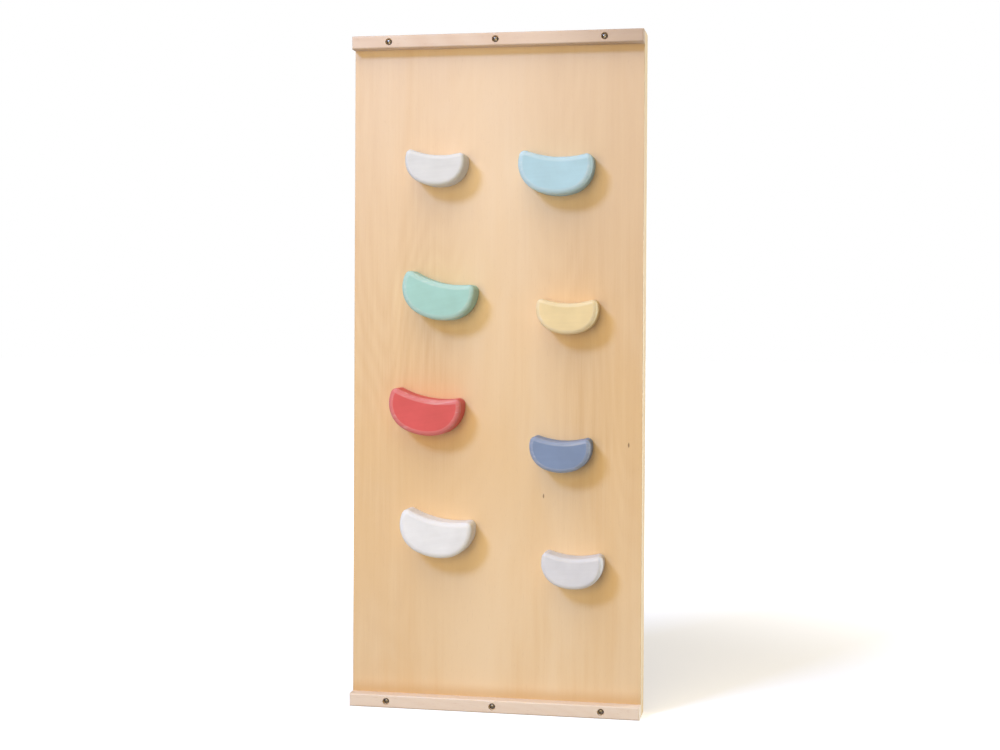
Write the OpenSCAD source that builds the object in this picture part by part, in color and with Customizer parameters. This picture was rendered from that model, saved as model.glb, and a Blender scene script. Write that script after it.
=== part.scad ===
// Climbing panel: plywood board with kidney-shaped wooden holds, two front rails
// and a batten frame behind. Millimetres, +Z up, front towards -Y, origin on the
// floor under the middle of the whole object.

/* [Panel] */
// Width of the plywood panel, and of every rail across it
panel_w = 500; // [460:5:600]
// Height of the panel
panel_h = 1150; // [1120:5:1300]
// Thickness of the plywood
panel_t = 18; // [15:1:21]
// Rounding of the panel's upright front edges
panel_edge_r = 1.5; // [0.5:0.25:3]

/* [Front rails] */
// Height of a rail's face
rail_h = 22; // [20:1:30]
// How far a rail stands out from the panel
rail_d = 22; // [18:1:28]
// Rounding of a rail's front edges
rail_edge_r = 2.5; // [1:0.25:4]
// Distance from the middle screw to each outer screw
rail_screw_pitch = 185; // [150:1:200]
// Diameter of the counterbore that a screw head sits in
counterbore_d = 12; // [11:0.5:14]
// Depth of that counterbore
counterbore_depth = 5; // [4:0.5:8]

/* [Back frame] */
// Depth of the battens behind the panel
frame_d = 30; // [28:1:40]
// Width of an upright batten
stile_w = 40; // [36:1:50]
// Height of a cross batten
cross_h = 60; // [55:1:80]
// Rounding of a batten's rear edges
batten_edge_r = 2; // [1:0.25:4]

/* [Hold shape] */
// Half the distance between the centres of a large hold's round tips
tip_x = 52; // [46:0.5:56]
// Radius of a large hold's round tips
tip_r = 10; // [9:0.5:14]
// Radius of the shoulders between a large hold's tips and its belly
shoulder_r = 50; // [42:0.5:56]
// Height of the hollow top arc's centre above the tips' centres
brow_up = 165; // [140:1:190]
// How far a hold stands out from the panel
hold_t = 42; // [36:1:46]
// Rounding of a hold's front edge
hold_edge_r = 4; // [2:0.5:6]
// Size of a small hold's outline against a large one
small_scale = 0.82; // [0.75:0.01:1]

/* [Left column of holds] */
// Heights above the floor, from the top down
left_z = [942, 726.5, 530.5, 324]; // [250:0.5:1000]
// Sideways places of the holds
left_x = [-99.5, -91, -114, -94]; // [-130:0.5:-80]
// Clockwise tilts in degrees
left_tilt = [4.5, 13, 9.5, 10.5]; // [0:0.5:15]

/* [Right column of holds] */
// Heights above the floor, from the top down
right_z = [936, 692.5, 461.5, 267.5]; // [250:0.5:1000]
// Sideways places of the holds
right_x = [106, 126, 116, 137]; // [90:0.5:140]
// Clockwise tilts in degrees
right_tilt = [3.5, 1, 2, 2.5]; // [0:0.5:15]

/* [Fasteners] */
// Length of a rail screw under its head
rail_screw_l = 60; // [50:5:60]
// Length of a hold screw under its head
hold_screw_l = 50; // [40:5:50]
// Length of a batten screw, head and all
batten_screw_l = 40; // [35:5:45]
// Half the distance between a large hold's two screws
hold_screw_x = 27; // [20:1:30]
// Diameter of the dowels at the frame's corners
dowel_d = 8; // [6:1:10]
// Length of those dowels
dowel_l = 40; // [30:5:40]

/* [Hidden] */
$fn = 48;

// Depths along Y
front_y = -(hold_t + panel_t + frame_d) / 2;
panel_y = front_y + hold_t;
rear_y = panel_y + panel_t;
back_y = rear_y + frame_d;
rail_y = panel_y - rail_d;

// Screws
shank_d = 5;
clearance_d = 5.4;
rail_head_d = 9.4;
hold_head_d = 10;
head_h = 3.2;
washer_d = 16;
washer_t = 1.2;
batten_shank_d = 4;
batten_head_d = 8;
batten_head_h = 3;
tip_l = 6;
cut = 1;

// Places
rail_screw_x = [-rail_screw_pitch, 0, rail_screw_pitch];
rail_seat_y = rail_y + counterbore_depth;
batten_screw_z = [for (i = [0:4]) panel_h * (0.08 + 0.21 * i)];
stile_x = panel_w / 2 - stile_w / 2;
cross_w = panel_w - 2 * stile_w;
dowel_z = [20, 45];
top_dowel_z = [for (z = dowel_z) panel_h - z];
all_dowel_z = concat(dowel_z, top_dowel_z);
hold_screw_drop = 20;

// Directions from a right tip's centre to where its shoulder starts, and from the
// shoulder's centre to where the belly starts
tip_low = 13;
belly_turn = -71;

// Every hold: x, z, tilt, size
HOLDS = [
    [left_x[0], left_z[0], left_tilt[0], small_scale],
    [left_x[1], left_z[1], left_tilt[1], 1],
    [left_x[2], left_z[2], left_tilt[2], 1],
    [left_x[3], left_z[3], left_tilt[3], 1],
    [right_x[0], right_z[0], right_tilt[0], 1],
    [right_x[1], right_z[1], right_tilt[1], small_scale],
    [right_x[2], right_z[2], right_tilt[2], small_scale],
    [right_x[3], right_z[3], right_tilt[3], small_scale]];

// Point of a hold, given in the hold's own axes, as x and z on the panel
function hold_point(h, u, v) =
    [h[0] + u * cos(h[2]) + v * sin(h[2]), h[1] - u * sin(h[2]) + v * cos(h[2])];

// Where a hold's two screws go
function hold_screw_at(h) =
    [for (side = [-1, 1]) hold_point(h, side * hold_screw_x * h[3], -hold_screw_drop * h[3])];

// Points of an arc round a centre; its last point is left to the arc that follows
function arc(c, r, from, to, steps) =
    [for (i = [0:steps - 1]) let (a = from + (to - from) * i / steps) c + r * [cos(a), sin(a)]];

// Kidney outline for size s, drawn in by inset: belly, right shoulder, right tip, hollow
// top, left tip, left shoulder. The arcs meet on the lines through their centres, so each
// runs smoothly into the next.
function kidney(s, inset) =
    let (tip = [tip_x, 0] * s, brow = [0, brow_up] * s, tip_end = tip_r * s - inset,
         shoulder = tip - (shoulder_r - tip_r) * s * [cos(tip_low), sin(tip_low)],
         shoulder_end = shoulder_r * s - inset,
         spread = shoulder[0] / cos(belly_turn),
         belly = shoulder - spread * [cos(belly_turn), sin(belly_turn)],
         tip_high = atan2(brow_up, -tip_x))
    concat(
        arc(belly, spread + shoulder_end, -180 - belly_turn, belly_turn, 10),
        arc(shoulder, shoulder_end, belly_turn, tip_low, 10),
        arc(tip, tip_end, tip_low, tip_high, 8),
        arc(brow, norm(tip - brow) - tip_end, tip_high - 180, -tip_high, 10),
        arc([-tip[0], 0], tip_end, 180 - tip_high, 180 - tip_low, 8),
        arc([-shoulder[0], shoulder[1]], shoulder_end, 180 - tip_low, 180 - belly_turn, 10));

// Cylinder along +Y from the origin
module along_y(d, l) {
    rotate([-90, 0, 0]) cylinder(d = d, h = l);
}

// Rectangle from the origin with its two low-Y corners rounded
module front_rounded(w, h, r) {
    translate([0, r]) square([w, h - r]);
    translate([r, 0]) square([w - 2 * r, h]);
    for (x = [r, w - r]) translate([x, r]) circle(r);
}

// Bar across the panel, rounded on its front edges and its front ends
module front_rail(z) {
    color([0.90, 0.79, 0.69])
    difference() {
        intersection() {
            translate([-panel_w / 2, rail_y, z]) linear_extrude(rail_h)
                front_rounded(panel_w, rail_d, rail_edge_r);
            translate([-panel_w / 2, rail_y, z]) rotate([90, 0, 90]) linear_extrude(panel_w)
                translate([0, rail_h]) rotate(-90) front_rounded(rail_h, rail_d, rail_edge_r);
        }
        for (x = rail_screw_x) translate([x, rail_y, z + rail_h / 2]) {
            translate([0, -cut, 0]) along_y(counterbore_d, counterbore_depth + cut);
            along_y(clearance_d, rail_d + cut);
        }
    }
}

// Cross batten behind the panel, with pilot holes for rail screws and dowel holes
module cross_batten(z, screw_z, dowels) {
    color([0.86, 0.74, 0.60])
    difference() {
        translate([-cross_w / 2, rear_y, z]) cube([cross_w, frame_d, cross_h]);
        for (x = rail_screw_x) translate([x, rail_seat_y, screw_z])
            along_y(shank_d, rail_screw_l);
        for (side = [-1, 1], dz = dowels) dowel_hole(side, dz);
    }
}

// Blind hole across the joint between a stile and a cross batten
module dowel_hole(side, z) {
    translate([side * cross_w / 2, rear_y + frame_d / 2, z])
        rotate([0, 90, 0]) cylinder(d = dowel_d, h = dowel_l, center = true);
}

// Upright batten on one side, with its rear edges rounded
module stile(side) {
    color([0.86, 0.74, 0.60])
    difference() {
        translate([side * stile_x + stile_w / 2, back_y, 0]) rotate(180)
            linear_extrude(panel_h) front_rounded(stile_w, frame_d, batten_edge_r);
        for (z = all_dowel_z) dowel_hole(side, z);
        for (z = batten_screw_z) translate([side * stile_x, back_y, z]) rotate(180)
            batten_screw_shape();
    }
}
// Cross recess for a screwdriver, cut into a head whose top is at the origin
module cross_recess(w) {
    for (a = [0, 90]) rotate([0, a, 0])
        translate([-w / 2, -cut, -w / 9]) cube([w, cut + 1.8, w / 4.5]);
}

// Pan-head wood screw along +Y, with its head's underside at the origin
module pan_screw(head_d, l) {
    difference() {
        rotate([-90, 0, 0]) rotate_extrude() polygon([
            [0, -head_h], [head_d * 0.32, -head_h], [head_d * 0.44, -head_h * 0.78],
            [head_d / 2, -head_h * 0.35], [head_d / 2, 0], [shank_d / 2, 0],
            [shank_d / 2, l - tip_l], [0, l]]);
        translate([0, -head_h, 0]) cross_recess(head_d * 0.56);
    }
}

// Countersunk wood screw along +Y, with its flat head flush at the origin
module batten_screw_shape() {
    rotate([-90, 0, 0]) rotate_extrude() polygon([
        [0, 0], [batten_head_d / 2, 0], [batten_shank_d / 2, batten_head_h],
        [batten_shank_d / 2, batten_screw_l - tip_l], [0, batten_screw_l]]);
}

// Painted kidney-shaped hold with a rounded front edge and two pilot holes behind.
// Its skin runs through rings: each is an outline's inset and its height off the panel.
module hold(h) {
    steps = 4;
    rings = concat([[0, 0]], [for (i = [0:steps]) let (a = 90 * i / steps)
        [hold_edge_r * (1 - cos(a)), hold_t - hold_edge_r + hold_edge_r * sin(a)]]);
    last = len(rings) - 1;
    outlines = [for (ring = rings) kidney(h[3], ring[0])];
    n = len(outlines[0]);
    difference() {
        translate([h[0], panel_y, h[1]]) rotate([90, h[2], 0])
            polyhedron(
                points = [for (k = [0:last], p = outlines[k]) [p[0], p[1], rings[k][1]]],
                faces = concat([[for (i = [0:n - 1]) i]],
                    [for (k = [0:last - 1], i = [0:n - 1]) let (j = (i + 1) % n)
                        [k * n + i, (k + 1) * n + i, (k + 1) * n + j, k * n + j]],
                    [[for (i = [0:n - 1]) last * n + n - 1 - i]]));
        for (p = hold_screw_at(h)) translate([p[0], rear_y + washer_t, p[1]])
            rotate(180) along_y(shank_d, hold_screw_l);
    }
}

module climbing_panel() {
    color([0.90, 0.77, 0.61])
    difference() {
        translate([-panel_w / 2, panel_y, 0]) linear_extrude(panel_h)
            front_rounded(panel_w, panel_t, panel_edge_r);
        for (x = rail_screw_x, z = [rail_h / 2, panel_h - rail_h / 2])
            translate([x, panel_y - cut, z]) along_y(clearance_d, panel_t + 2 * cut);
        for (h = HOLDS, p = hold_screw_at(h))
            translate([p[0], panel_y - cut, p[1]]) along_y(clearance_d, panel_t + 2 * cut);
        for (side = [-1, 1], z = batten_screw_z)
            translate([side * stile_x, back_y, z]) rotate(180) batten_screw_shape();
    }
}

module top_front_rail() { front_rail(panel_h - rail_h); }
module bottom_front_rail() { front_rail(0); }
module top_back_rail() {
    cross_batten(panel_h - cross_h, panel_h - rail_h / 2, top_dowel_z);
}
module bottom_back_rail() { cross_batten(0, rail_h / 2, dowel_z); }
module left_back_stile() { stile(-1); }
module right_back_stile() { stile(1); }

module hold_light_grey() { color([0.87, 0.87, 0.87]) hold(HOLDS[0]); }
module hold_mint() { color([0.67, 0.83, 0.79]) hold(HOLDS[1]); }
module hold_coral() { color([0.86, 0.40, 0.38]) hold(HOLDS[2]); }
module hold_white() { color([0.95, 0.95, 0.95]) hold(HOLDS[3]); }
module hold_sky_blue() { color([0.71, 0.84, 0.88]) hold(HOLDS[4]); }
module hold_yellow() { color([0.92, 0.84, 0.65]) hold(HOLDS[5]); }
module hold_slate_blue() { color([0.51, 0.57, 0.69]) hold(HOLDS[6]); }
module hold_pale_grey() { color([0.84, 0.84, 0.84]) hold(HOLDS[7]); }

// Row of rail screws at one height
module rail_screw_row(z) {
    color([0.62, 0.62, 0.60])
    for (x = rail_screw_x) translate([x, rail_seat_y, z]) pan_screw(rail_head_d, rail_screw_l);
}
module top_rail_screws() { rail_screw_row(panel_h - rail_h / 2); }
module bottom_rail_screws() { rail_screw_row(rail_h / 2); }

module hold_screws() {
    color([0.62, 0.62, 0.60])
    for (h = HOLDS, p = hold_screw_at(h)) translate([p[0], rear_y + washer_t, p[1]])
        rotate(180) pan_screw(hold_head_d, hold_screw_l);
}

module hold_washers() {
    color([0.70, 0.70, 0.68])
    for (h = HOLDS, p = hold_screw_at(h)) translate([p[0], rear_y, p[1]]) difference() {
        along_y(washer_d, washer_t);
        translate([0, -cut, 0]) along_y(clearance_d, washer_t + 2 * cut);
    }
}

module batten_screws() {
    color([0.62, 0.62, 0.60])
    for (side = [-1, 1], z = batten_screw_z)
        translate([side * stile_x, back_y, z]) rotate(180) difference() {
            batten_screw_shape();
            cross_recess(batten_head_d * 0.56);
        }
}

module frame_dowels() {
    color([0.80, 0.66, 0.48])
    for (side = [-1, 1], z = all_dowel_z) dowel_hole(side, z);
}

climbing_panel();
top_front_rail();
bottom_front_rail();
top_back_rail();
bottom_back_rail();
left_back_stile();
right_back_stile();
hold_light_grey();
hold_mint();
hold_coral();
hold_white();
hold_sky_blue();
hold_yellow();
hold_slate_blue();
hold_pale_grey();
top_rail_screws();
bottom_rail_screws();
hold_screws();
hold_washers();
batten_screws();
frame_dowels();
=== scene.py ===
"""Looks of the climbing wall panel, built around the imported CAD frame. Metres, +Z up."""
import math

import bmesh
import bpy
from mathutils import Matrix, Vector


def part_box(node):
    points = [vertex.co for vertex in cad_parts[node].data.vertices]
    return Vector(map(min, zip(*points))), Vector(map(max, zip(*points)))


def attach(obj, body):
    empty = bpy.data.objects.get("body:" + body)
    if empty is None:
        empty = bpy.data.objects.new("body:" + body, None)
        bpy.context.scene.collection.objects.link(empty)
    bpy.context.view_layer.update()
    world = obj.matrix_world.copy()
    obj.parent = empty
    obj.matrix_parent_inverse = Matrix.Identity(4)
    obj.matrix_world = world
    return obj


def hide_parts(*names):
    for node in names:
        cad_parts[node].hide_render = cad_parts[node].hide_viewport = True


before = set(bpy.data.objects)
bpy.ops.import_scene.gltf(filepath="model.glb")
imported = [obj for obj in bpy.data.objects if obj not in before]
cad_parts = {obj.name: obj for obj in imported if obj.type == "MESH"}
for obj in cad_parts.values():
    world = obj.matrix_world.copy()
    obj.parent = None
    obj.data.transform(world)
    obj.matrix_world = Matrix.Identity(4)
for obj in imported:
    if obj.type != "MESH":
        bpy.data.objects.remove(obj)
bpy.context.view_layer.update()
MM = 0.001

# ------------------------------------------------------------------ sizes
PANEL_LOW, PANEL_HIGH = (Vector(c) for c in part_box("climbing_panel"))
FRONT_Y = PANEL_LOW.y
REAR_Y = PANEL_HIGH.y
RAIL_TOP_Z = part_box("bottom_front_rail")[1][2]
BACK_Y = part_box("left_back_stile")[1][1]
PLIES = 11

# Hold outline, as the CAD part has it: half the distance between the tips' centres, the
# radii of tips and shoulders, the height of the hollow top's arc centre above the tips, and
# the directions in which a shoulder leaves its tip and the belly leaves the shoulder.
TIP_X = 52 * MM
TIP_R = 10 * MM
SHOULDER_R = 50 * MM
BROW_UP = 165 * MM
TIP_LOW = math.radians(13)
BELLY_TURN = math.radians(-71)
SMALL = 0.82
# Node: (clockwise tilt in degrees, size, material slot)
HOLDS = {
    "hold_light_grey": (4.5, SMALL, "paint_light_grey"),
    "hold_mint": (13, 1, "paint_mint"),
    "hold_coral": (9.5, 1, "paint_coral"),
    "hold_white": (10.5, 1, "paint_white"),
    "hold_sky_blue": (3.5, 1, "paint_sky_blue"),
    "hold_yellow": (1, SMALL, "paint_yellow"),
    "hold_slate_blue": (2, SMALL, "paint_slate_blue"),
    "hold_pale_grey": (2.5, SMALL, "paint_pale_grey"),
}
HOLD_SCREW_X = 27 * MM
HOLD_SCREW_DROP = 20 * MM
# A hold's soft front edge: how far it draws in and how deep it starts; the eased rear edge.
HOLD_ROUND_IN = 9.0 * MM
HOLD_ROUND_OUT = 7.0 * MM
HOLD_REAR_EASE = 0.7 * MM
# Pin knots in the veneer as x, z and radius, each drawn out upright by 1 / KNOT_SQUASH
PIN_KNOTS = ((0.083, 0.368, 1.0 * MM), (0.227, 0.457, 1.1 * MM))
KNOT_SQUASH = 0.34


def grey(value):
    return (value, value, value, 1)


def rgb(r, g, b):
    return (r, g, b, 1)


# ------------------------------------------------------------------ camera
def make_camera():
    """Stands in front, a little to the right, just above the middle of the panel."""
    place = (0.5047, -2.6494, 0.667)
    azimuth = math.radians(10.66)
    tilt = math.radians(0.75)
    roll = math.radians(0.3)
    data = bpy.data.cameras.new("camera")
    data.sensor_width = 36
    data.lens = 57.03
    data.shift_y = -0.035
    data.clip_end = 60
    cam = bpy.data.objects.new("camera", data)
    right = Vector((math.cos(azimuth), math.sin(azimuth), 0))
    level = Vector((-math.sin(azimuth), math.cos(azimuth), 0))
    ahead = level * math.cos(tilt) - Vector((0, 0, 1)) * math.sin(tilt)
    up = right.cross(ahead)
    across = right * math.cos(roll) + up * math.sin(roll)
    above = up * math.cos(roll) - right * math.sin(roll)
    turn = Matrix((across, above, -ahead)).transposed().to_4x4()
    cam.matrix_world = Matrix.Translation(place) @ turn
    bpy.context.scene.collection.objects.link(cam)
    bpy.context.scene.camera = cam


# ------------------------------------------------------------------ light and floor
def area_light(name, place, aim, size, power, colour=(1, 1, 1)):
    """Square lamp at a place, turned to its aim, which the camera doesn't see."""
    data = bpy.data.lights.new(name, "AREA")
    data.size = size
    data.energy = power
    data.color = colour
    lamp = bpy.data.objects.new(name, data)
    lamp.location = place
    lamp.rotation_euler = (Vector(aim) - Vector(place)).to_track_quat("-Z", "Y").to_euler()
    lamp.visible_camera = False
    bpy.context.scene.collection.objects.link(lamp)
    return lamp


def studio_material(name, albedo, glow):
    """Plain grey with its own glow, for what stands round the object."""
    material = bpy.data.materials.new(name)
    material.use_nodes = True
    shader = material.node_tree.nodes["Principled BSDF"]
    shader.inputs["Base Color"].default_value = grey(albedo)
    shader.inputs["Roughness"].default_value = 0.9
    shader.inputs["Specular IOR Level"].default_value = 0.0
    shader.inputs["Emission Color"].default_value = grey(1)
    shader.inputs["Emission Strength"].default_value = glow
    return material


def floor_paper():
    """White paper, a little brighter far from the object so that it meets the surround."""
    n = Nodes("floor_paper")
    n.shader.inputs["Base Color"].default_value = grey(0.88)
    n.shader.inputs["Roughness"].default_value = 0.9
    n.shader.inputs["Specular IOR Level"].default_value = 0.0
    reach = n.new("ShaderNodeVectorMath", operation="LENGTH")
    n.put(reach.inputs[0], n.coords)
    n.shader.inputs["Emission Color"].default_value = rgb(0.98, 1, 1.05)
    glow = n.remap(reach.outputs["Value"], 0.6, 1.6, 0.56, 1.0, smooth=True)
    n.put(n.shader.inputs["Emission Strength"], glow)
    return n.material


def studio_plane(name, height, material):
    """Level sheet about as wide as the surround."""
    bpy.ops.mesh.primitive_plane_add(size=46, location=(0, 0, height))
    plane = bpy.context.object
    plane.name = name
    plane.data.materials.append(material)
    return plane


def seen_by_camera_only(o):
    """Keeps the pale floor and surround from flooding the object with light."""
    for ray in ("diffuse", "glossy", "transmission", "volume_scatter", "shadow"):
        setattr(o, "visible_" + ray, False)


def leave_unlit(lamp, o):
    """Keeps one lamp off one object, so that the object's own shadow shows on the floor."""
    receivers = bpy.data.collections.new(lamp.name + "_receivers")
    receivers.objects.link(o)
    receivers.collection_objects[0].light_linking.link_state = "EXCLUDE"
    lamp.light_linking.receiver_collection = receivers


def make_studio():
    """Pale floor, white surround and soft lights: cool from the upper left, warm elsewhere."""
    scene = bpy.context.scene
    scene.view_settings.view_transform = "Standard"
    world = bpy.data.worlds.new("studio")
    world.use_nodes = True
    background = world.node_tree.nodes["Background"]
    background.inputs["Color"].default_value = rgb(1, 0.75, 0.33)
    background.inputs["Strength"].default_value = 0.12
    scene.world = world
    middle = (0, FRONT_Y, 0.6)
    area_light("key", (-2.3, -3.7, 3.5), middle, 1.0, 162, (0.33, 0.51, 1))
    area_light("overhead", (-0.35, -2.2, 4.2), (0, 0, 0.5), 3.0, 82, (1, 0.88, 0.66))
    area_light("front_fill", (-0.6, -3.6, 0.9), (0, 0, 0.35), 2.2, 62, (1, 0.80, 0.42))
    right = area_light("right_back", (2.6, 1.3, 0.6), (0.25, 0, 0.6), 1.2, 104, (0.85, 0.95, 1))
    left = area_light("left_back", (-2.4, 1.8, 1.4), (0, 0, 0.7), 1.8, 25)

    bpy.ops.mesh.primitive_uv_sphere_add(segments=48, ring_count=24, radius=24)
    surround = bpy.context.object
    surround.name = "surround"
    surround.data.materials.append(studio_material("surround_white", 0, 1.0))
    floor = studio_plane("floor", 0, floor_paper())
    seen_by_camera_only(surround)
    seen_by_camera_only(floor)
    bounce = studio_plane("floor_bounce", -0.0005, studio_material("floor_grey", 0.42, 0))
    bounce.visible_camera = False
    leave_unlit(right, floor)
    leave_unlit(left, floor)


# ------------------------------------------------------------------ node helpers
class Nodes:
    """Short calls for building a material's node tree."""

    def __init__(self, name):
        self.material = bpy.data.materials.new(name)
        self.material.use_nodes = True
        self.tree = self.material.node_tree
        self.shader = self.tree.nodes["Principled BSDF"]
        self.coords = self.new("ShaderNodeTexCoord").outputs["Object"]

    def new(self, kind, **settings):
        node = self.tree.nodes.new(kind)
        for key, value in settings.items():
            setattr(node, key, value)
        return node

    def put(self, socket, value):
        """Links a socket to another, or sets its value."""
        if isinstance(value, bpy.types.NodeSocket):
            self.tree.links.new(value, socket)
        else:
            socket.default_value = value

    def math(self, operation, a, b=0.0):
        node = self.new("ShaderNodeMath", operation=operation)
        self.put(node.inputs[0], a)
        self.put(node.inputs[1], b)
        return node.outputs[0]

    def total(self, *terms):
        """Sum of values, each times its own weight."""
        parts = [self.math("MULTIPLY", value, weight) for value, weight in terms]
        result = parts[0]
        for part in parts[1:]:
            result = self.math("ADD", result, part)
        return result

    def stretch(self, scale, shift=(0, 0, 0)):
        """Object coordinates in metres, times a scale along each axis."""
        node = self.new("ShaderNodeMapping")
        self.put(node.inputs["Vector"], self.coords)
        node.inputs["Scale"].default_value = scale
        node.inputs["Location"].default_value = shift
        return node.outputs[0]

    def noise(self, vector, detail=3.0, rough=0.5, distortion=0.0):
        node = self.new("ShaderNodeTexNoise")
        self.put(node.inputs["Vector"], vector)
        node.inputs["Scale"].default_value = 1.0
        node.inputs["Detail"].default_value = detail
        node.inputs["Roughness"].default_value = rough
        node.inputs["Distortion"].default_value = distortion
        return node.outputs["Fac"]

    def remap(self, value, low, high, to_low=0.0, to_high=1.0, smooth=False):
        """Value from low to high turned into to_low to to_high, held at both ends."""
        node = self.new("ShaderNodeMapRange")
        node.interpolation_type = "SMOOTHSTEP" if smooth else "LINEAR"
        self.put(node.inputs["Value"], value)
        for key, number in (("From Min", low), ("From Max", high),
                            ("To Min", to_low), ("To Max", to_high)):
            node.inputs[key].default_value = number
        return node.outputs[0]

    def mix(self, factor, a, b):
        """Colour a where the factor is 0, b where it is 1."""
        node = self.new("ShaderNodeMix", data_type="RGBA")
        self.put(node.inputs["Factor"], factor)
        self.put(node.inputs[6], a)
        self.put(node.inputs[7], b)
        return node.outputs[2]

    def axis(self, vector, name):
        node = self.new("ShaderNodeSeparateXYZ")
        self.put(node.inputs[0], vector)
        return node.outputs[name]

    def bump(self, height, distance, strength):
        node = self.new("ShaderNodeBump")
        self.put(node.inputs["Height"], height)
        node.inputs["Distance"].default_value = distance
        node.inputs["Strength"].default_value = strength
        self.put(self.shader.inputs["Normal"], node.outputs[0])


# ------------------------------------------------------------------ wood
def along(direction, across_scale, along_scale):
    """Scale triple with along_scale on the grain's axis and across_scale on the others."""
    return tuple(along_scale if axis == direction else across_scale for axis in "XYZ")


def wood_figure(n, direction, shift):
    """Grain shared by every bare wood: broad tone, growth lines, fine fibre, short pores."""
    tone = n.noise(n.stretch(along(direction, 7, 1.1), shift), detail=3, rough=0.55)
    warp = n.noise(n.stretch(along(direction, 5, 0.9), shift), detail=2, rough=0.4)
    rings = n.math("SINE", n.math("MULTIPLY", warp, 190))
    rings = n.remap(rings, -1, 1)
    streak = n.noise(n.stretch(along(direction, 130, 3.2), shift), detail=4, rough=0.62)
    fibre = n.noise(n.stretch(along(direction, 900, 14), shift), detail=3, rough=0.6)
    pore = n.noise(n.stretch(along(direction, 1500, 90), shift), detail=1, rough=0.5)
    pore = n.remap(pore, 0.66, 0.78, smooth=True)
    return tone, warp, rings, streak, fibre, pore


def bare_wood(name, direction, pale, deep, pore_colour, shift=(0, 0, 0), ring=0.16, heart=None):
    """Planed solid wood with grain along one axis, end grain on the faces it runs into, and
    darker towards one end, from heart[0] to heart[1] along the grain, if given."""
    n = Nodes(name)
    tone, warp, rings, streak, fibre, pore = wood_figure(n, direction, shift)
    depth = n.total((tone, 0.55), (rings, ring), (streak, 0.42), (fibre, 0.18))
    depth = n.remap(depth, 0.35, 1.0)
    colour = n.mix(depth, pale, deep)
    if heart:
        wander = n.math("ADD", n.axis(n.coords, direction), n.math("MULTIPLY", warp, 0.12))
        darker = n.remap(wander, heart[0] + 0.06, heart[1] + 0.06, 0, 0.75, smooth=True)
        colour = n.mix(darker, colour, tuple(c * 0.68 for c in deep[:3]) + (1,))
    colour = n.mix(n.math("MULTIPLY", pore, 0.45), colour, pore_colour)
    normal = n.new("ShaderNodeNewGeometry").outputs["True Normal"]
    facing_end = n.math("ABSOLUTE", n.axis(normal, direction))
    facing_end = n.remap(facing_end, 0.7, 0.9, smooth=True)
    end_rings = n.noise(n.stretch((260, 260, 260), shift), detail=4, rough=0.7)
    end_colour = n.mix(n.remap(end_rings, 0.3, 0.7), deep, pore_colour)
    end_colour = n.mix(0.5, colour, end_colour)
    n.put(n.shader.inputs["Base Color"], n.mix(facing_end, colour, end_colour))
    n.put(n.shader.inputs["Roughness"], n.remap(streak, 0.3, 0.7, 0.37, 0.50))
    relief = n.math("SUBTRACT", n.math("ADD", fibre, n.math("MULTIPLY", streak, 0.8)), pore)
    n.bump(relief, 0.12 * MM, 0.6)
    return n.material


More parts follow.
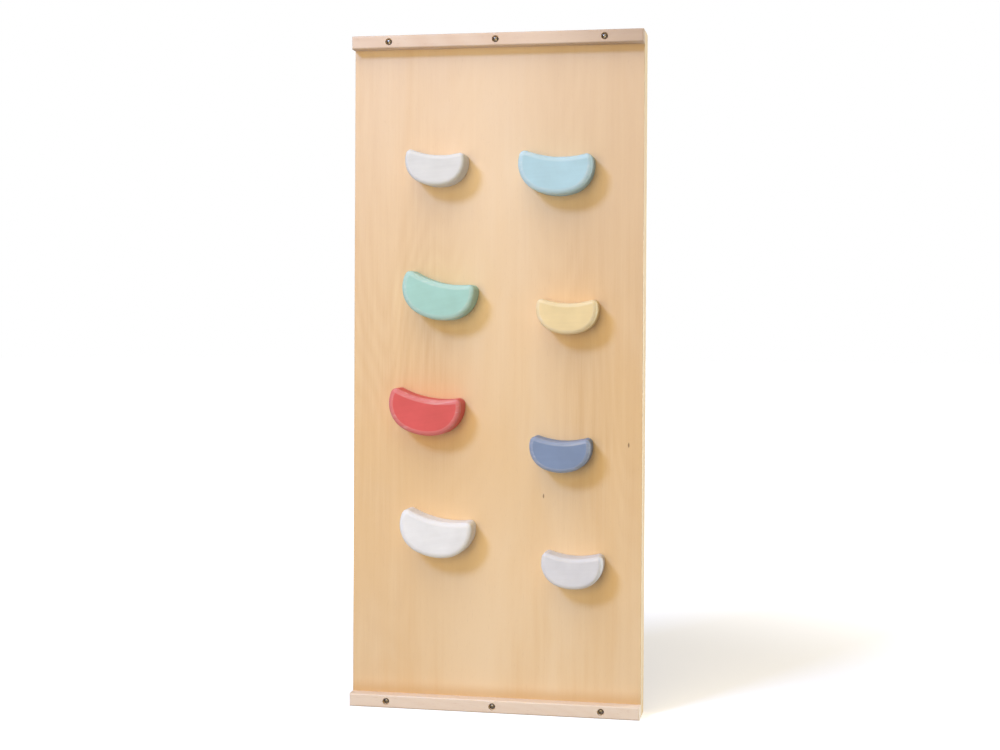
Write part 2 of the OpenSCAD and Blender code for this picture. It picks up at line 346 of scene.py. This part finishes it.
def veneer_face(n):
    """Colour of the panel's face: figured grain, paler up its middle, golden patches lower down,
    a painted sheen paler towards the top, painted light paler towards the bottom, and painted shade
    darker at the upper right and just above the bottom rail."""
    tone, _, rings, streak, fibre, pore = wood_figure(n, "Z", (3.1, 0, 1.7))
    across = n.axis(n.coords, "X")
    height = n.axis(n.coords, "Z")
    depth = n.total((tone, 0.55), (rings, 0.09), (streak, 0.50), (fibre, 0.30))
    depth = n.remap(depth, 0.42, 0.92)
    colour = n.mix(depth, rgb(0.88, 0.655, 0.40), rgb(0.745, 0.49, 0.245))

    sway = n.noise(n.stretch((0.6, 1, 1.3), (5, 2, 0)), detail=2)
    offset = n.math("ADD", across, n.remap(sway, 0, 1, -0.10, 0.08))
    heart = n.remap(n.math("ABSOLUTE", offset), 0.02, 0.13, 1, 0, smooth=True)
    heart = n.math("MULTIPLY", heart, n.remap(streak, 0.25, 0.65, 0.45, 0.95))
    colour = n.mix(heart, colour, rgb(0.89, 0.68, 0.44))

    patch = n.noise(n.stretch((4.5, 1, 1.9), (7, 0, 3)), detail=3, rough=0.6, distortion=0.4)
    patch = n.math("MULTIPLY", n.remap(patch, 0.40, 0.62, 0, 0.70, smooth=True),
                   n.remap(height, 0.55, 0.95, 1, 0.25, smooth=True))
    colour = n.mix(patch, colour, rgb(0.80, 0.54, 0.27))

    # Painted sheen: the face drawn paler towards the top, standing in for light reflected there.
    top = n.remap(height, 0.45, 1.1, 0, 0.55, smooth=True)
    colour = n.mix(top, colour, rgb(0.845, 0.665, 0.50))

    # Painted light: the face drawn paler towards the bottom, less at the left edge, standing in for
    # light falling there.
    low = n.math("MULTIPLY", n.remap(height, 0.04, 0.55, 0.80, 0, smooth=True),
                 n.remap(across, -0.24, 0.0, 0.35, 1, smooth=True))
    low = n.math("MULTIPLY", low, n.remap(across, 0.12, 0.25, 1, 0.70, smooth=True))
    colour = n.mix(low, colour, rgb(0.945, 0.735, 0.48))

    gold = n.noise(n.stretch((11, 1, 1.1), (2, 0, 9)), detail=4, rough=0.6, distortion=0.3)
    gold = n.math("MULTIPLY", n.remap(gold, 0.44, 0.64, 0, 0.62, smooth=True),
                  n.remap(streak, 0.25, 0.65, 0.35, 1))
    gold = n.math("MULTIPLY", gold, n.remap(height, 0.35, 0.75, 1, 0.30, smooth=True))
    colour = n.mix(gold, colour, rgb(0.83, 0.565, 0.29))

    # Painted shade: a darker strip just above the bottom rail, where the rail meets the face.
    painted_shade_foot = n.remap(height, RAIL_TOP_Z + 2 * MM, RAIL_TOP_Z + 24 * MM, 0.62, 0, smooth=True)
    colour = n.mix(painted_shade_foot, colour, rgb(0.62, 0.38, 0.165))

    # Painted shade: darker towards the upper right, where less light falls.
    painted_shade_corner = n.math("MULTIPLY", n.remap(across, -0.08, 0.25, smooth=True),
                    n.remap(height, 0.35, 0.85, smooth=True))
    colour = n.mix(n.math("MULTIPLY", painted_shade_corner, 0.40), colour, rgb(0.66, 0.46, 0.28))
    colour = n.mix(n.math("MULTIPLY", pore, 0.16), colour, rgb(0.52, 0.32, 0.16))
    return colour, streak, fibre, pore


def pin_knots(n, colour):
    """The colour with a small dark upright knot at each of PIN_KNOTS."""
    for x, z, radius in PIN_KNOTS:
        squashed = n.new("ShaderNodeVectorMath", operation="MULTIPLY")
        n.put(squashed.inputs[0], n.coords)
        squashed.inputs[1].default_value = (1, 0, KNOT_SQUASH)
        spot = n.new("ShaderNodeVectorMath", operation="DISTANCE")
        n.put(spot.inputs[0], squashed.outputs[0])
        spot.inputs[1].default_value = (x, 0, z * KNOT_SQUASH)
        mark = n.remap(spot.outputs["Value"], radius * 0.6, radius * 1.7, 0.85, 0, smooth=True)
        colour = n.mix(mark, colour, rgb(0.20, 0.10, 0.05))
    return colour


def ply_layers(n):
    """Light and dark plies across the panel's thickness, and where the surface is an edge."""
    normal = n.new("ShaderNodeNewGeometry").outputs["True Normal"]
    facing_out = n.math("ABSOLUTE", n.axis(normal, "Y"))
    edge = n.remap(facing_out, 0.5, 0.3, smooth=True)
    ply = n.remap(n.axis(n.coords, "Y"), FRONT_Y, REAR_Y, 0, PLIES)
    band = n.math("PINGPONG", ply, 1.0)
    band = n.remap(band, 0.35, 0.65, smooth=True)
    rough_edge = n.noise(n.stretch((300, 60, 300)), detail=3, rough=0.7)
    band = n.math("MULTIPLY", band, n.remap(rough_edge, 0.2, 0.7, 0.5, 1.0))
    return edge, n.mix(band, rgb(0.82, 0.63, 0.41), rgb(0.62, 0.41, 0.22))


def veneer():
    """Light peeled veneer, grain upright, with plies on the panel's edges and two pin knots."""
    n = Nodes("plywood_veneer")
    colour, streak, fibre, pore = veneer_face(n)
    edge, layers = ply_layers(n)
    n.put(n.shader.inputs["Base Color"], n.mix(edge, pin_knots(n, colour), layers))
    n.put(n.shader.inputs["Roughness"], n.remap(streak, 0.3, 0.7, 0.40, 0.50))
    relief = n.math("SUBTRACT", n.math("ADD", fibre, n.math("MULTIPLY", streak, 0.7)), pore)
    n.bump(relief, 0.1 * MM, 0.5)
    return n.material


# ------------------------------------------------------------------ paint
def painted_wood(name, base, tilt, shift):
    """Matt paint on a sanded block: faint grain through it, fine roller texture, a rim drawn paler
    by scuffing and by a painted highlight.
    """
    n = Nodes(name)
    turn = n.new("ShaderNodeMapping")
    n.put(turn.inputs["Vector"], n.coords)
    turn.inputs["Rotation"].default_value = (0, math.radians(tilt), 0)
    lay = n.new("ShaderNodeMapping")
    n.put(lay.inputs["Vector"], turn.outputs[0])
    lay.inputs["Scale"].default_value = (9, 160, 160)
    lay.inputs["Location"].default_value = shift
    grain = n.noise(lay.outputs[0], detail=4, rough=0.6)
    cloud = n.noise(n.stretch((22, 22, 22), shift), detail=3, rough=0.55)
    stipple = n.noise(n.stretch((1400, 1400, 1400), shift), detail=2, rough=0.5)
    light = tuple(min(1, c * 1.05 + 0.012) for c in base) + (1,)
    dark = tuple(c * 0.93 for c in base) + (1,)
    shade = n.total((cloud, 0.7), (grain, 0.3))
    colour = n.mix(n.remap(shade, 0.32, 0.68), dark, light)
    rim = n.new("ShaderNodeAttribute", attribute_name="rim").outputs["Fac"]
    # Painted highlight and scuffing: the round-over drawn paler, in patches along the grain and
    # evenly all round.
    rubbed_wear_and_highlight = n.math("MULTIPLY", rim, n.remap(grain, 0.45, 0.75, smooth=True))
    worn_and_highlit = tuple(c * 0.6 + 0.4 * w for c, w in zip(base, (0.95, 0.91, 0.86))) + (1,)
    rim_wear_and_highlight = n.total((rubbed_wear_and_highlight, 0.45), (rim, 0.30))
    colour = n.mix(rim_wear_and_highlight, colour, worn_and_highlit)
    n.put(n.shader.inputs["Base Color"], colour)
    n.put(n.shader.inputs["Roughness"], n.remap(cloud, 0.3, 0.7, 0.50, 0.60))
    n.shader.inputs["Specular IOR Level"].default_value = 0.4
    relief = n.math("ADD", grain, n.math("MULTIPLY", stipple, 0.35))
    n.bump(relief, 0.15 * MM, 0.5)
    return n.material


# ------------------------------------------------------------------ metal
def zinc_steel(name, tint):
    """Zinc-plated steel with fine turning marks and dull patches."""
    n = Nodes(name)
    patch = n.noise(n.stretch((420, 420, 420)), detail=4, rough=0.65)
    scratch = n.noise(n.stretch((3800, 900, 3800)), detail=2, rough=0.6)
    light = tuple(tint) + (1,)
    dark = tuple(c * 0.62 for c in tint) + (1,)
    n.put(n.shader.inputs["Base Color"], n.mix(n.remap(patch, 0.3, 0.7), dark, light))
    n.shader.inputs["Metallic"].default_value = 1.0
    n.put(n.shader.inputs["Roughness"], n.remap(patch, 0.3, 0.7, 0.26, 0.42))
    n.bump(scratch, 0.03 * MM, 0.4)
    return n.material


# ------------------------------------------------------------------ mesh helpers
def new_mesh(name, verts, faces):
    mesh = bpy.data.meshes.new(name)
    mesh.from_pydata([tuple(v) for v in verts], [], faces)
    mesh.validate()
    return mesh


def add_piece(name, mesh, material, sharp_angle, node):
    """Shows a mesh in place of a CAD node, smooth except across its sharp edges."""
    mesh.shade_smooth()
    mesh.set_sharp_from_angle(angle=math.radians(sharp_angle))
    mesh.materials.clear()
    mesh.materials.append(material)
    piece = bpy.data.objects.new(name, mesh)
    bpy.context.scene.collection.objects.link(piece)
    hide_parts(node)
    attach(piece, "root")


def loft(rings):
    """Points and faces of a closed solid through equal rings of points, capped at both ends."""
    count = len(rings[0])
    verts = [p for ring in rings for p in ring]
    faces = [tuple(reversed(range(count)))]
    for k in range(len(rings) - 1):
        for i in range(count):
            j = (i + 1) % count
            faces.append((k * count + i, k * count + j, (k + 1) * count + j, (k + 1) * count + i))
    last = (len(rings) - 1) * count
    faces.append(tuple(range(last, last + count)))
    return verts, faces


def arc(centre, radius, start, stop, steps):
    """Points of an arc; its last point is left to the arc that follows."""
    angles = [start + (stop - start) * i / steps for i in range(steps)]
    return [(centre[0] + radius * math.cos(a), centre[1] + radius * math.sin(a)) for a in angles]


def kidney(size, inset):
    """Hold outline drawn in by inset: belly, shoulder, tip, hollow top, tip, shoulder."""
    tip, brow = TIP_X * size, BROW_UP * size
    tip_end, shoulder_end = TIP_R * size - inset, SHOULDER_R * size - inset
    reach = (SHOULDER_R - TIP_R) * size
    sx, sy = tip - reach * math.cos(TIP_LOW), -reach * math.sin(TIP_LOW)
    spread = sx / math.cos(BELLY_TURN)
    half = math.pi
    tip_high = math.atan2(brow, -tip)
    belly = (0, sy - spread * math.sin(BELLY_TURN))
    return (arc(belly, spread + shoulder_end, -half - BELLY_TURN, BELLY_TURN, 30)
            + arc((sx, sy), shoulder_end, BELLY_TURN, TIP_LOW, 40)
            + arc((tip, 0), tip_end, TIP_LOW, tip_high, 22)
            + arc((0, brow), math.hypot(tip, brow) - tip_end, tip_high - half, -tip_high, 40)
            + arc((-tip, 0), tip_end, half - tip_high, half - TIP_LOW, 22)
            + arc((-sx, sy), shoulder_end, half - TIP_LOW, half - BELLY_TURN, 40))


def place_hold(node, tilt, size):
    """Where the hold's own origin lies: its tilted outline's box is centred on the CAD box."""
    low, high = (Vector(c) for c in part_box(node))
    turned = [on_panel((0, 0), tilt, p) for p in kidney(size, 0)]
    xs = [p[0] for p in turned]
    zs = [p[1] for p in turned]
    middle = (low + high) / 2
    return (middle.x - (min(xs) + max(xs)) / 2, middle.z - (min(zs) + max(zs)) / 2)


def on_panel(origin, tilt, point):
    """A point of a hold's own axes as x and z on the panel."""
    angle = math.radians(tilt)
    u, v = point
    return (origin[0] + u * math.cos(angle) + v * math.sin(angle),
            origin[1] - u * math.sin(angle) + v * math.cos(angle))


def hold_screw_places():
    """x and z of the two screws behind every hold."""
    places = []
    for node, (tilt, size, _) in HOLDS.items():
        origin = place_hold(node, tilt, size)
        for side in (-1, 1):
            point = (side * HOLD_SCREW_X * size, -HOLD_SCREW_DROP * size)
            places.append(on_panel(origin, tilt, point))
    return places


def hold_profile(size, depth):
    """Pairs of how far the outline is drawn in and how far it stands out, panel to front."""
    ease = HOLD_REAR_EASE
    round_in = HOLD_ROUND_IN * size
    round_steps = 10
    profile = [(ease, 0), (ease * 0.3, ease * 0.3), (0, ease)]
    profile += [(0, depth * f) for f in (0.3, 0.6)]
    for i in range(round_steps + 1):
        a = math.pi / 2 * i / round_steps
        profile.append((round_in * (1 - math.cos(a)), depth - HOLD_ROUND_OUT * (1 - math.sin(a))))
    profile.append((round_in + 0.4 * MM, depth))
    return profile


def make_hold(node, tilt, size, material):
    """Block with a soft round-over all round its front and a thin eased edge at the panel.
    Its rim attribute is 1 on the round-over."""
    low, high = (Vector(c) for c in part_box(node))
    origin = place_hold(node, tilt, size)
    depth = high.y - low.y
    rings, rims = [], []
    for inset, out in hold_profile(size, depth):
        outline = [on_panel(origin, tilt, p) for p in kidney(size, inset)]
        rings.append([(x, high.y - out, z) for x, z in outline])
        on_round = 0 < inset < HOLD_ROUND_IN * size * 0.95 and out > depth / 2
        rims += [float(on_round)] * len(outline)
    name = node.replace("hold_", "climbing_hold_")
    mesh = new_mesh(name, *loft(rings))
    rim = mesh.attributes.new("rim", "FLOAT", "POINT")
    for i, value in enumerate(rims):
        rim.data[i].value = value
    add_piece(name, mesh, material, 50, node)


# ------------------------------------------------------------------ screws
def lathe(profile, segments=40):
    """Points and faces of a solid turned round Y from (radius, y) pairs, ends on the axis."""
    verts, faces = [], []
    inner = profile[1:-1]
    for radius, y in inner:
        for i in range(segments):
            a = 2 * math.pi * i / segments
            verts.append((radius * math.cos(a), y, radius * math.sin(a)))
    for k in range(len(inner) - 1):
        for i in range(segments):
            j = (i + 1) % segments
            faces.append((k * segments + i, (k + 1) * segments + i,
                          (k + 1) * segments + j, k * segments + j))
    verts += [(0, profile[0][1], 0), (0, profile[-1][1], 0)]
    first, last = len(verts) - 2, len(verts) - 1
    base = (len(inner) - 1) * segments
    for i in range(segments):
        j = (i + 1) % segments
        faces.append((first, i, j))
        faces.append((last, base + j, base + i))
    return verts, faces


def thread(radius, start, stop, pitch, ridge):
    """Profile points of a threaded stretch: a ridge on every turn."""
    points = []
    y = start
    while y + pitch < stop:
        points += [(radius - ridge, y), (radius - ridge, y + pitch * 0.55),
                   (radius, y + pitch * 0.8)]
        y += pitch
    points.append((radius - ridge, y))
    return points


def cross_cutter(width, depth, head_top):
    """Two crossed wedges in one mesh, to cut a screwdriver recess in a head."""
    work = bmesh.new()
    for turn in (0, math.pi / 2):
        wide, narrow = width / 2, width / 3.4
        thick, thin = width / 8, width / 12
        made = bmesh.ops.create_cube(work, size=1)["verts"]
        for v in made:
            outer = v.co.y < 0
            v.co.x *= 2 * (wide if outer else narrow)
            v.co.z *= 2 * (thick if outer else thin)
            v.co.y = head_top - 0.6 * MM if outer else head_top + depth
        bmesh.ops.rotate(work, verts=made, cent=(0, 0, 0),
                         matrix=Matrix.Rotation(turn, 3, "Y"))
    mesh = bpy.data.meshes.new("cross_cutter")
    work.to_mesh(mesh)
    work.free()
    return mesh


def cut(mesh, cutter, name):
    """Mesh with the cutter taken away."""
    body = bpy.data.objects.new(name, mesh)
    tool = bpy.data.objects.new(name + "_tool", cutter)
    for o in (body, tool):
        bpy.context.scene.collection.objects.link(o)
    step = body.modifiers.new("cut", "BOOLEAN")
    step.operation = "DIFFERENCE"
    step.solver = "EXACT"
    step.use_self = True
    step.object = tool
    bpy.context.view_layer.update()
    depsgraph = bpy.context.evaluated_depsgraph_get()
    result = bpy.data.meshes.new_from_object(body.evaluated_get(depsgraph))
    for o in (body, tool):
        bpy.data.objects.remove(o)
    join_close_points(result)
    return result


def join_close_points(mesh):
    """Joins the points that a cut leaves at one place, which would give faces with no area."""
    work = bmesh.new()
    work.from_mesh(mesh)
    bmesh.ops.remove_doubles(work, verts=work.verts, dist=0.001 * MM)
    work.to_mesh(mesh)
    work.free()


def screw_mesh(name, head, shank_d, length, recess):
    """Screw along +Y with its seat at y = 0: head profile, threaded shank, point, recess."""
    r = shank_d / 2
    tip = 6 * MM
    smooth = length * 0.34
    profile = list(head) + [(r * 0.82, 0.2 * MM), (r * 0.82, smooth)]
    profile += thread(r, smooth + 0.4 * MM, length - tip, 2.2 * MM, 0.55 * MM)
    profile += [(r * 0.45, length - tip * 0.4), (0, length)]
    mesh = new_mesh(name, *lathe(profile))
    return cut(mesh, cross_cutter(recess, 1.9 * MM, head[0][1]), name)


def pan_head(d, h):
    """Domed head, from its top centre down to its seat."""
    r = d / 2
    dome_end = math.radians(80)
    dome_r = r * 0.97 / math.sin(dome_end)
    steps = 8
    points = [(0, -h)]
    for i in range(1, steps + 1):
        a = dome_end * i / steps
        points.append((dome_r * math.sin(a), -h + h * 0.62 * (1 - math.cos(a))))
    return points + [(r, -h * 0.30), (r, -0.3 * MM), (r - 0.3 * MM, 0)]


def flat_head(d, h):
    """Countersunk head, flush at its top."""
    r = d / 2
    return [(0, 0), (r * 0.9, 0), (r, 0.2 * MM), (r * 0.55, h)]


def fixings(name, mesh, spots, turn, material, node):
    """One piece made of the same fixing at every spot, each turned a little differently."""
    work = bmesh.new()
    for i, spot in enumerate(spots):
        first = len(work.verts)
        work.from_mesh(mesh)
        work.verts.ensure_lookup_table()
        fresh = work.verts[first:]
        spin = Matrix.Rotation(i * 1.1 + 0.35, 4, "Y")
        bmesh.ops.transform(work, verts=fresh, matrix=Matrix.Translation(spot) @ turn @ spin)
    made = bpy.data.meshes.new(name)
    work.to_mesh(made)
    work.free()
    add_piece(name, made, material, 34, node)


def make_fixings(steel, washer_steel):
    """Every screw and washer, at the places of the CAD nodes' own boxes."""
    straight = Matrix.Identity(4)
    reversed_turn = Matrix.Rotation(math.pi, 4, "Z")
    pan_h = 3.2 * MM

    rail_head_d = 9.4 * MM
    rail_screw = screw_mesh("rail_screw", pan_head(rail_head_d, pan_h), 5 * MM, 60 * MM, 5.4 * MM)
    for where in ("top", "bottom"):
        node = where + "_rail_screws"
        low, high = (Vector(c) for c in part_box(node))
        middle = (low + high) / 2
        columns = (low.x + rail_head_d / 2, middle.x, high.x - rail_head_d / 2)
        fixings(where + "_rail_screw_row", rail_screw,
                [(x, low.y + pan_h, middle.z) for x in columns],
                straight, steel, node)

    places = hold_screw_places()
    washer_t = 1.2 * MM
    hold_screw = screw_mesh("hold_screw", pan_head(10 * MM, pan_h), 5 * MM, 50 * MM, 5.6 * MM)
    fixings("hold_screw_set", hold_screw, [(x, REAR_Y + washer_t, z) for x, z in places],
            reversed_turn, steel, "hold_screws")
    washer = washer_mesh(8 * MM, 2.7 * MM, washer_t)
    fixings("hold_washer_set", washer, [(x, REAR_Y, z) for x, z in places],
            straight, washer_steel, "hold_washers")

    low, high = (Vector(c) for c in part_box("batten_screws"))
    flat_d = 8 * MM
    rows = 5
    pitch = (high.z - low.z - flat_d) / (rows - 1)
    heights = [low.z + flat_d / 2 + pitch * i for i in range(rows)]
    columns = (low.x + flat_d / 2, high.x - flat_d / 2)
    batten_screw = screw_mesh("batten_screw", flat_head(flat_d, 2.4 * MM), 4 * MM, 40 * MM, 4.6 * MM)
    fixings("batten_screw_set", batten_screw, [(x, BACK_Y, z) for x in columns for z in heights],
            reversed_turn, steel, "batten_screws")


def washer_mesh(outer, inner, thick):
    """Flat ring lying from y = 0 to y = thick, with eased rims."""
    segments = 48
    e = 0.15 * MM
    loop = [(outer - e, 0), (outer, e), (outer, thick - e), (outer - e, thick),
            (inner + e, thick), (inner, thick - e), (inner, e), (inner + e, 0)]
    verts, faces = [], []
    for i in range(segments):
        a = 2 * math.pi * i / segments
        verts += [(r * math.cos(a), y, r * math.sin(a)) for r, y in loop]
    n = len(loop)
    for i in range(segments):
        j = (i + 1) % segments
        for k in range(n):
            m = (k + 1) % n
            faces.append((i * n + k, i * n + m, j * n + m, j * n + k))
    return new_mesh("washer", verts, faces)


# ------------------------------------------------------------------ CAD nodes that stay
def dress(node, material):
    """Gives a CAD node its material."""
    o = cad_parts[node]
    o.data.materials.clear()
    o.data.materials.append(material)


def make_materials():
    """Materials of the CAD nodes that are shown as they are: panel, rails, battens, dowels."""
    beech = dict(pale=rgb(0.81, 0.66, 0.53), deep=rgb(0.71, 0.52, 0.385),
                 pore_colour=rgb(0.50, 0.30, 0.19))
    # Painted light: the bottom rail's beech drawn paler than the top rail's, standing in for light
    # near the floor.
    beech_painted_lit = dict(pale=rgb(0.93, 0.80, 0.67), deep=rgb(0.86, 0.70, 0.565),
                      pore_colour=rgb(0.62, 0.42, 0.30))
    pine = dict(pale=rgb(0.80, 0.60, 0.37), deep=rgb(0.66, 0.43, 0.22),
                pore_colour=rgb(0.45, 0.26, 0.12))
    dress("climbing_panel", veneer())
    dress("top_front_rail", bare_wood("rail_wood_top", "X", shift=(0.7, 2, 5), ring=0.22,
                                      heart=(0.02, 0.25), **beech))
    dress("bottom_front_rail", bare_wood("rail_wood_bottom", "X", shift=(4, 7, 1), **beech_painted_lit))
    dress("top_back_rail", bare_wood("batten_wood_top", "X", shift=(2, 1, 8), **pine))
    dress("bottom_back_rail", bare_wood("batten_wood_bottom", "X", shift=(6, 3, 2), **pine))
    dress("left_back_stile", bare_wood("batten_wood_left", "Z", shift=(1, 9, 4), **pine))
    dress("right_back_stile", bare_wood("batten_wood_right", "Z", shift=(8, 5, 3), **pine))
    dress("frame_dowels", bare_wood("dowel_wood", "X", shift=(3, 3, 3), **beech))


PAINTS = {
    "paint_light_grey": (0.74, 0.755, 0.755),
    "paint_mint": (0.385, 0.67, 0.605),
    "paint_coral": (0.74, 0.102, 0.102),
    "paint_white": (0.87, 0.89, 0.91),
    "paint_sky_blue": (0.445, 0.68, 0.775),
    "paint_yellow": (0.88, 0.71, 0.39),
    "paint_slate_blue": (0.215, 0.30, 0.48),
    "paint_pale_grey": (0.74, 0.755, 0.80),
}


make_camera()
make_studio()
make_materials()
for i, (node, (tilt, size, slot)) in enumerate(HOLDS.items()):
    paint = painted_wood(slot, PAINTS[slot], tilt, (i * 1.7, i * 0.9, i * 2.3))
    make_hold(node, tilt, size, paint)
make_fixings(zinc_steel("screw_zinc", (0.36, 0.32, 0.27)),
             zinc_steel("washer_zinc", (0.66, 0.66, 0.65)))
